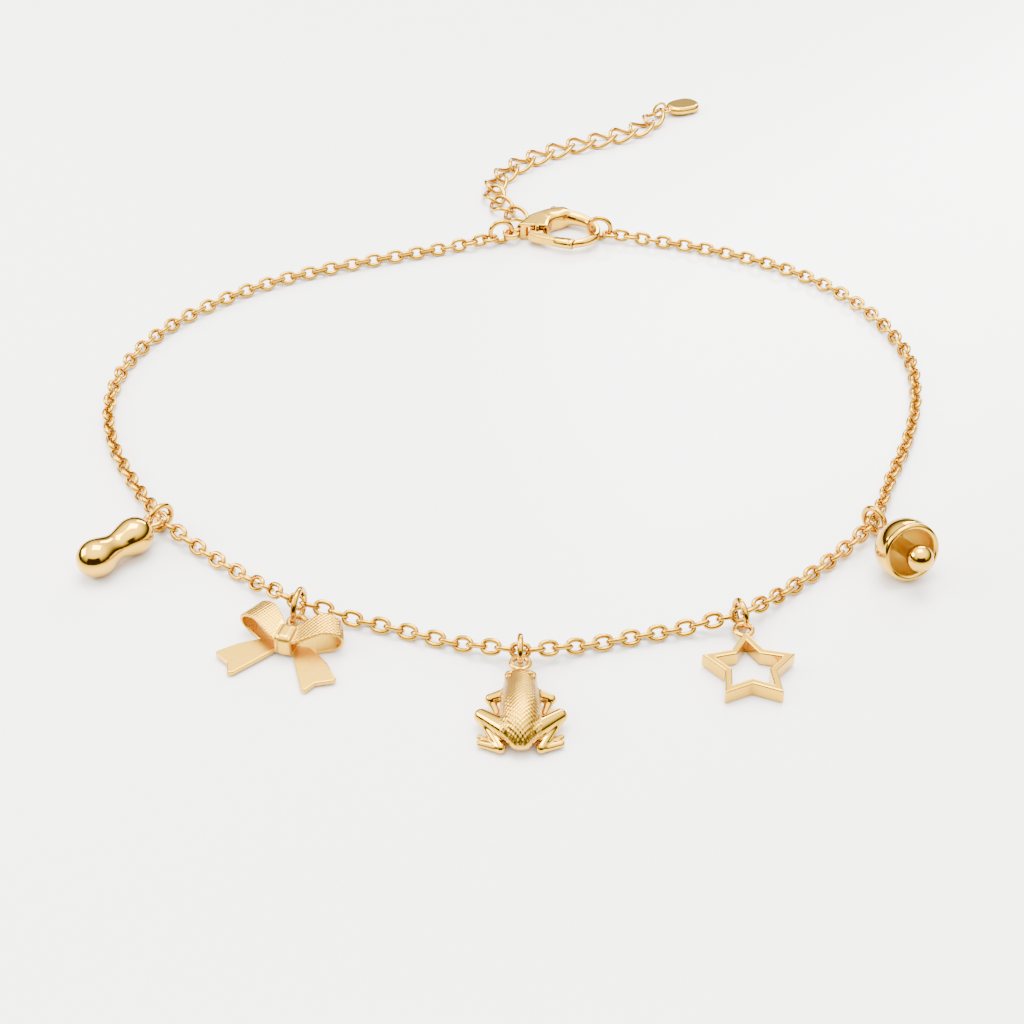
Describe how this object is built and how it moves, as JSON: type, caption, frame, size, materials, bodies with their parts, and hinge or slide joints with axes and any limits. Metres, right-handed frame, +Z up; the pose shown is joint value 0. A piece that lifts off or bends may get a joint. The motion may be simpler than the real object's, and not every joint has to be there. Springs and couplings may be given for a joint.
{
  "type": "charm necklace",
  "caption": "Open-laid gold charm necklace: fine cable chain, cast charms on jump rings, lobster clasp with a working lever, and a curb-link tail that ends in a drop.",
  "frame": {"origin": "on the table, below the middle of the whole necklace's plan box", "axes": "+Z up, -Y towards the wearer's front where the charms lie, +Y towards the clasp and its tail, +X to the viewer's right"},
  "size_m": [0.1304, 0.1824, 0.0089],
  "materials": {
    "chain_gold": "bright gold plate on wire",
    "polished_gold": "mirror-polished gold plate",
    "satin_gold": "satin gold plate with a fine brushed grid"
  },
  "bodies": {
    "necklace": {"cable_chain": "chain_gold", "peanut_ring": "chain_gold", "peanut_charm": "polished_gold", "bow_ring": "chain_gold", "bow_charm": "satin_gold", "frog_ring": "chain_gold", "frog_charm": "satin_gold", "star_ring": "chain_gold", "star_charm": "polished_gold", "mushroom_ring": "chain_gold", "mushroom_charm": "polished_gold", "clasp_body": "polished_gold", "clasp_pin": "polished_gold", "left_end_ring": "chain_gold", "right_end_ring": "chain_gold", "drop_ring": "chain_gold", "tail_link_01": "chain_gold", "tail_link_02": "chain_gold", "tail_link_03": "chain_gold", "tail_link_04": "chain_gold", "tail_link_05": "chain_gold", "tail_link_06": "chain_gold", "tail_link_07": "chain_gold", "tail_link_08": "chain_gold", "tail_link_09": "chain_gold", "tail_link_10": "chain_gold", "tail_link_11": "chain_gold", "tail_link_12": "chain_gold", "tail_link_13": "chain_gold", "drop": "polished_gold"},
    "lever": {"clasp_lever": "polished_gold"}
  },
  "joints": [
    {"name": "lever_pivot", "type": "hinge", "parent": "necklace", "child": "lever", "pos_m": [0.0039, 0.03751, 0.0017], "axis": [0, 0, 1], "range_deg": [0, 16], "stiffness_Nm_per_rad": 0.001, "springref_deg": -11.46}
  ]
}
